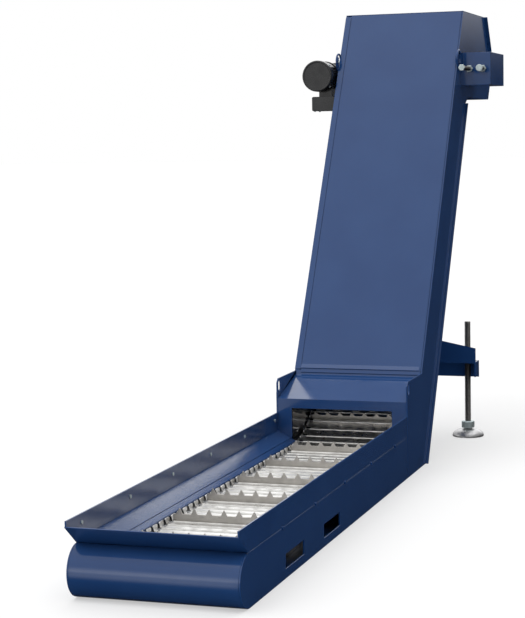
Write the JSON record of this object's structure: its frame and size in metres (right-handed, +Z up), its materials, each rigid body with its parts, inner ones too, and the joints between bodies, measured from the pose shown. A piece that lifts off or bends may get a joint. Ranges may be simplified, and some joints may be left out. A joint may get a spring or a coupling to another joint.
{
  "type": "chip conveyor",
  "caption": "Hinged steel belt chip conveyor with a long open trough, steep covered incline, discharge head with motor, and levelling feet.",
  "frame": {"origin": "On the floor under the tail roller axis, midway between the side plates.", "axes": "+Y along the trough towards the incline, +Z up, +X to the right seen from the loading end."},
  "size_m": [0.5935, 2.702, 1.365],
  "materials": {
    "blue_paint": "deep blue gloss paint",
    "belt_steel": "bare rolled steel",
    "dark_steel": "bare dark steel",
    "motor_paint": "dark grey satin paint",
    "bright_steel": "zinc plated steel",
    "bearing_iron": "cast iron",
    "spindle_steel": "steel thread",
    "polished_steel": "polished steel",
    "black_plastic": "black moulded plastic"
  },
  "bodies": {
    "frame": {"cable_gland": "black_plastic", "chute_left": "blue_paint", "chute_right": "blue_paint", "collar_screws": "bright_steel", "collar_wall_left": "blue_paint", "collar_wall_right": "blue_paint", "drive_bearings": "bearing_iron", "end_plate": "blue_paint", "fan_cowl": "motor_paint", "foot_nuts": "bright_steel", "front_flare": "blue_paint", "gearbox": "motor_paint", "head_hood": "blue_paint", "head_top_plate": "blue_paint", "incline_back_plate": "blue_paint", "incline_cover": "blue_paint", "incline_rails": "dark_steel", "knee_hold_down_rails": "dark_steel", "knee_rails": "dark_steel", "knee_slope_plate": "blue_paint", "lifting_eyes": "blue_paint", "motor_body": "motor_paint", "nose_sheet": "blue_paint", "seam_bolts": "blue_paint", "shaft_guard_right": "blue_paint", "side_plate_left": "blue_paint", "side_plate_right": "blue_paint", "support_arms": "blue_paint", "support_beam": "blue_paint", "tail_bearings": "bearing_iron", "take_up_bracket_right": "blue_paint", "take_up_screws": "bright_steel", "terminal_box": "motor_paint", "torque_arm": "blue_paint", "trough_bottom": "blue_paint", "trough_rails": "dark_steel", "trough_side_left": "blue_paint", "trough_side_right": "blue_paint"},
    "belt_trough": {"belt_trough_links": "belt_steel", "belt_trough_cleats": "belt_steel"},
    "belt_knee": {"belt_knee": "belt_steel"},
    "belt_incline": {"belt_incline_links": "belt_steel", "belt_incline_cleats": "belt_steel"},
    "drive_shaft": {"drive_shaft": "bright_steel", "drive_wheels": "bearing_iron", "belt_head": "belt_steel"},
    "return_incline": {"return_incline": "belt_steel"},
    "return_knee": {"return_knee": "belt_steel"},
    "return_trough": {"return_trough": "belt_steel"},
    "tail": {"tail_roller": "bright_steel", "belt_tail": "belt_steel"},
    "motor_fan": {"motor_fan": "black_plastic"},
    "ball_stud_left": {"ball_stud_left": "polished_steel"},
    "spindle_left": {"spindle_left": "spindle_steel"},
    "foot_pad_left": {"foot_pad_left": "polished_steel"},
    "ball_stud_right": {"ball_stud_right": "polished_steel"},
    "spindle_right": {"spindle_right": "spindle_steel"},
    "foot_pad_right": {"foot_pad_right": "polished_steel"}
  },
  "joints": [
    {"name": "belt_trough_slide", "type": "slide", "parent": "frame", "child": "belt_trough", "axis": [0, 1, 0], "range_m": [-0.005, 0.005]},
    {"name": "belt_knee_turn", "type": "hinge", "parent": "frame", "child": "belt_knee", "pos_m": [0, 1.3335, 0.40663], "axis": [1, 0, 0], "range_deg": [-0.88, 0.88]},
    {"name": "belt_incline_slide", "type": "slide", "parent": "frame", "child": "belt_incline", "axis": [0, 0.5, 0.866], "range_m": [-0.005, 0.005]},
    {"name": "drive_shaft_turn", "type": "hinge", "parent": "frame", "child": "drive_shaft", "pos_m": [0, 2.20261, 1.18068], "axis": [1, 0, 0], "range_deg": [-7.54, 7.54]},
    {"name": "return_incline_slide", "type": "slide", "parent": "frame", "child": "return_incline", "axis": [0, 0.5, 0.866], "range_m": [-0.005, 0.005]},
    {"name": "return_knee_turn", "type": "hinge", "parent": "frame", "child": "return_knee", "pos_m": [0, 1.44341, 0.2895], "axis": [1, 0, 0], "range_deg": [-1.16, 1.16]},
    {"name": "return_trough_slide", "type": "slide", "parent": "frame", "child": "return_trough", "axis": [0, 1, 0], "range_m": [-0.005, 0.005]},
    {"name": "tail_turn", "type": "hinge", "parent": "frame", "child": "tail", "pos_m": [0, 0, 0.05925], "axis": [1, 0, 0], "range_deg": [-14.53, 14.53]},
    {"name": "motor_fan_spin", "type": "hinge", "parent": "frame", "child": "motor_fan", "pos_m": [-0.2525, 2.07261, 1.16518], "axis": [0, 1, 0], "range_deg": [-451.6, 451.6]},
    {"name": "foot_height_left", "type": "slide", "parent": "frame", "child": "ball_stud_left", "axis": [0, 0, 1], "range_m": [-0.05, 0.05]},
    {"name": "spindle_turn_left", "type": "hinge", "parent": "ball_stud_left", "child": "spindle_left", "pos_m": [-0.221, 2.105, 0.1], "axis": [0, 0, 1], "range_deg": [-7300, 7300]},
    {"name": "foot_tilt_left", "type": "hinge", "parent": "ball_stud_left", "child": "foot_pad_left", "pos_m": [-0.221, 2.105, 0.014], "axis": [1, 0, 0], "range_deg": [-8, 8]},
    {"name": "foot_height_right", "type": "slide", "parent": "frame", "child": "ball_stud_right", "axis": [0, 0, 1], "range_m": [-0.05, 0.05]},
    {"name": "spindle_turn_right", "type": "hinge", "parent": "ball_stud_right", "child": "spindle_right", "pos_m": [0.221, 2.105, 0.1], "axis": [0, 0, 1], "range_deg": [-7300, 7300]},
    {"name": "foot_tilt_right", "type": "hinge", "parent": "ball_stud_right", "child": "foot_pad_right", "pos_m": [0.221, 2.105, 0.014], "axis": [1, 0, 0], "range_deg": [-8, 8]}
  ],
  "couplings": [
    {"joint": "belt_knee_turn", "follows": "belt_trough_slide", "rad_per_m": 3.0522},
    {"joint": "belt_incline_slide", "follows": "belt_trough_slide", "ratio": 1},
    {"joint": "drive_shaft_turn", "follows": "belt_trough_slide", "rad_per_m": -26.247},
    {"joint": "return_incline_slide", "follows": "belt_trough_slide", "ratio": -1},
    {"joint": "return_knee_turn", "follows": "belt_trough_slide", "rad_per_m": -4},
    {"joint": "return_trough_slide", "follows": "belt_trough_slide", "ratio": -1},
    {"joint": "tail_turn", "follows": "belt_trough_slide", "rad_per_m": -50.633},
    {"joint": "motor_fan_spin", "follows": "belt_trough_slide", "rad_per_m": 1574.8},
    {"joint": "spindle_turn_left", "follows": "foot_height_left", "rad_per_m": 2513.3},
    {"joint": "spindle_turn_right", "follows": "foot_height_right", "rad_per_m": 2513.3}
  ]
}
